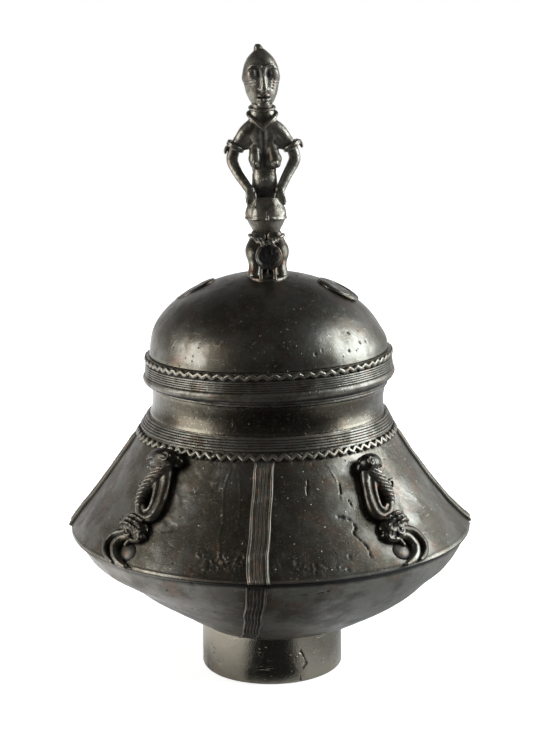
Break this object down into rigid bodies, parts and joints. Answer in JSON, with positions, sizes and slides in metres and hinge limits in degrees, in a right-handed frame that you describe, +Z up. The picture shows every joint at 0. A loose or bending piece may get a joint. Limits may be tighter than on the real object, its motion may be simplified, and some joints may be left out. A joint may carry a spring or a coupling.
{
  "type": "lidded ointment pot",
  "caption": "Cast bronze ointment pot on a ring foot, with a sharp-shouldered body and a domed lift-off lid that carries a standing female figure.",
  "frame": {"origin": "centre of the foot ring's underside, on the pot's axis", "axes": "+Z up along the pot's axis, -Y is the front that the figure faces, +X is the picture's right"},
  "size_m": [0.2006, 0.2006, 0.31],
  "materials": {
    "pot_bronze": "dark brown-black patina, satin, worn reddish at the edges",
    "relief_bronze": "dark patina, satin, rubbed brighter on the crests",
    "lid_bronze": "dark brown-black patina, smooth satin",
    "figure_bronze": "warm dark brown patina, glossier from handling"
  },
  "bodies": {
    "pot": {"animal_back_left_body": "relief_bronze", "animal_back_left_haunch": "relief_bronze", "animal_back_left_head": "relief_bronze", "animal_back_left_tail_inner": "relief_bronze", "animal_back_left_tail_outer": "relief_bronze", "animal_back_right_body": "relief_bronze", "animal_back_right_haunch": "relief_bronze", "animal_back_right_head": "relief_bronze", "animal_back_right_tail_inner": "relief_bronze", "animal_back_right_tail_outer": "relief_bronze", "animal_front_left_body": "relief_bronze", "animal_front_left_haunch": "relief_bronze", "animal_front_left_head": "relief_bronze", "animal_front_left_tail_inner": "relief_bronze", "animal_front_left_tail_outer": "relief_bronze", "animal_front_right_body": "relief_bronze", "animal_front_right_haunch": "relief_bronze", "animal_front_right_head": "relief_bronze", "animal_front_right_tail_inner": "relief_bronze", "animal_front_right_tail_outer": "relief_bronze", "collar_ridges": "relief_bronze", "collar_zigzag": "relief_bronze", "foot_ring": "pot_bronze", "lower_bowl": "pot_bronze", "neck": "pot_bronze", "neck_rim": "pot_bronze", "rib_back_lower": "relief_bronze", "rib_back_upper": "relief_bronze", "rib_front_lower": "relief_bronze", "rib_front_upper": "relief_bronze", "rib_left_lower": "relief_bronze", "rib_left_upper": "relief_bronze", "rib_right_lower": "relief_bronze", "rib_right_upper": "relief_bronze", "upper_bowl": "pot_bronze"},
    "lid_seat": {"lid_flange": "lid_bronze"},
    "lid": {"figure_arm_left": "figure_bronze", "figure_arm_right": "figure_bronze", "figure_armlet_left": "figure_bronze", "figure_armlet_right": "figure_bronze", "figure_base": "figure_bronze", "figure_front_dish": "figure_bronze", "figure_garter_left": "figure_bronze", "figure_garter_right": "figure_bronze", "figure_head": "figure_bronze", "figure_hips": "figure_bronze", "figure_leg_left": "figure_bronze", "figure_leg_right": "figure_bronze", "figure_neck_ring": "figure_bronze", "figure_necklace": "figure_bronze", "figure_post_left": "figure_bronze", "figure_post_right": "figure_bronze", "figure_topknot": "figure_bronze", "figure_torso": "figure_bronze", "lid_band": "lid_bronze", "lid_disc_left": "lid_bronze", "lid_disc_right": "lid_bronze", "lid_dome": "lid_bronze", "lid_zigzag": "lid_bronze"}
  },
  "joints": [
    {"name": "lid_lift", "type": "slide", "parent": "pot", "child": "lid_seat", "axis": [0, 0, 1], "range_m": [0, 0.12]},
    {"name": "lid_turn", "type": "hinge", "parent": "lid_seat", "child": "lid", "pos_m": [0, 0, 0.1493], "axis": [0, 0, 1], "continuous": true}
  ]
}
